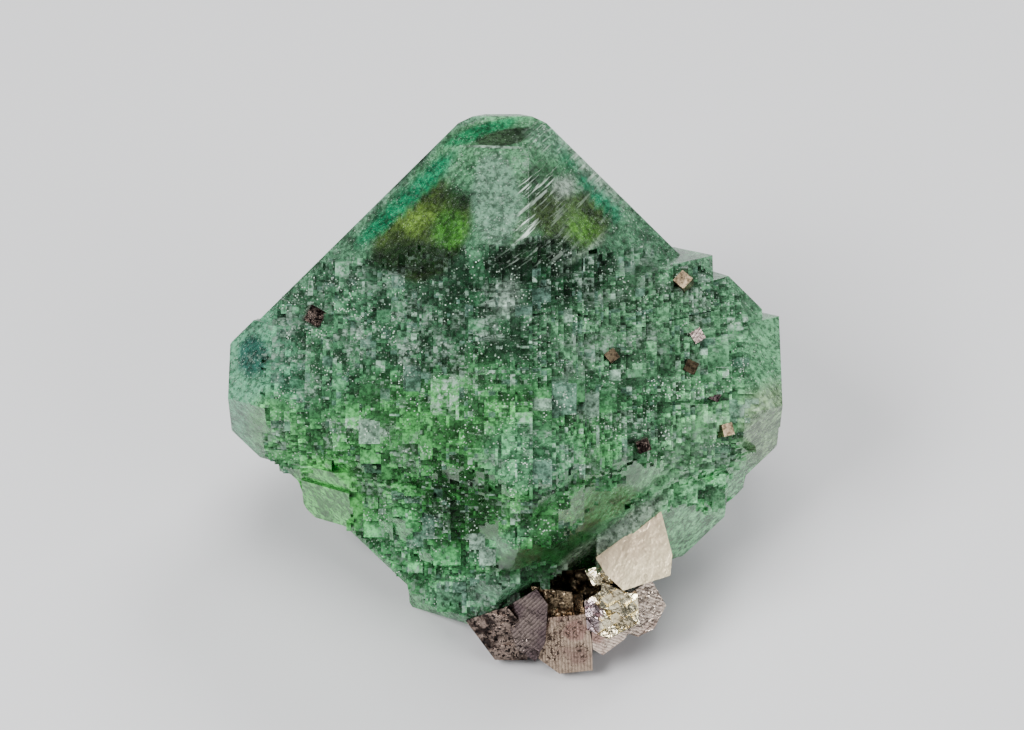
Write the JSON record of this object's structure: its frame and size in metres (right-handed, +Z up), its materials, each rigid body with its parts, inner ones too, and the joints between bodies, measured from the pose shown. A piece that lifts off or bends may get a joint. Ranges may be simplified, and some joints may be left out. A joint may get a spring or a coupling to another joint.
{
  "type": "mineral specimen",
  "caption": "Green fluorite octahedron with stepped cube growth, grown onto a cluster of metallic pyrite crystals at its lower corner, standing on its natural base.",
  "frame": {"origin": "centre of the bounding box in plan, at the ground the specimen rests on", "axes": "+Z up, -Y towards the front where the pyrite shows, +X to the viewer's right"},
  "size_m": [0.0546, 0.0522, 0.0434],
  "materials": {
    "fluorite": "clear to frosted green crystal with stepped faces",
    "pyrite": "natural metallic crystal faces, partly striated and tarnished"
  },
  "bodies": {
    "root": {"fluorite_crystal": "fluorite", "pyrite_cluster": "pyrite", "pyrite_grain_1": "pyrite", "pyrite_grain_2": "pyrite", "pyrite_grain_3": "pyrite", "pyrite_grain_4": "pyrite", "pyrite_grain_5": "pyrite", "pyrite_grain_6": "pyrite", "pyrite_grain_7": "pyrite", "pyrite_grain_8": "pyrite"}
  },
  "joints": []
}
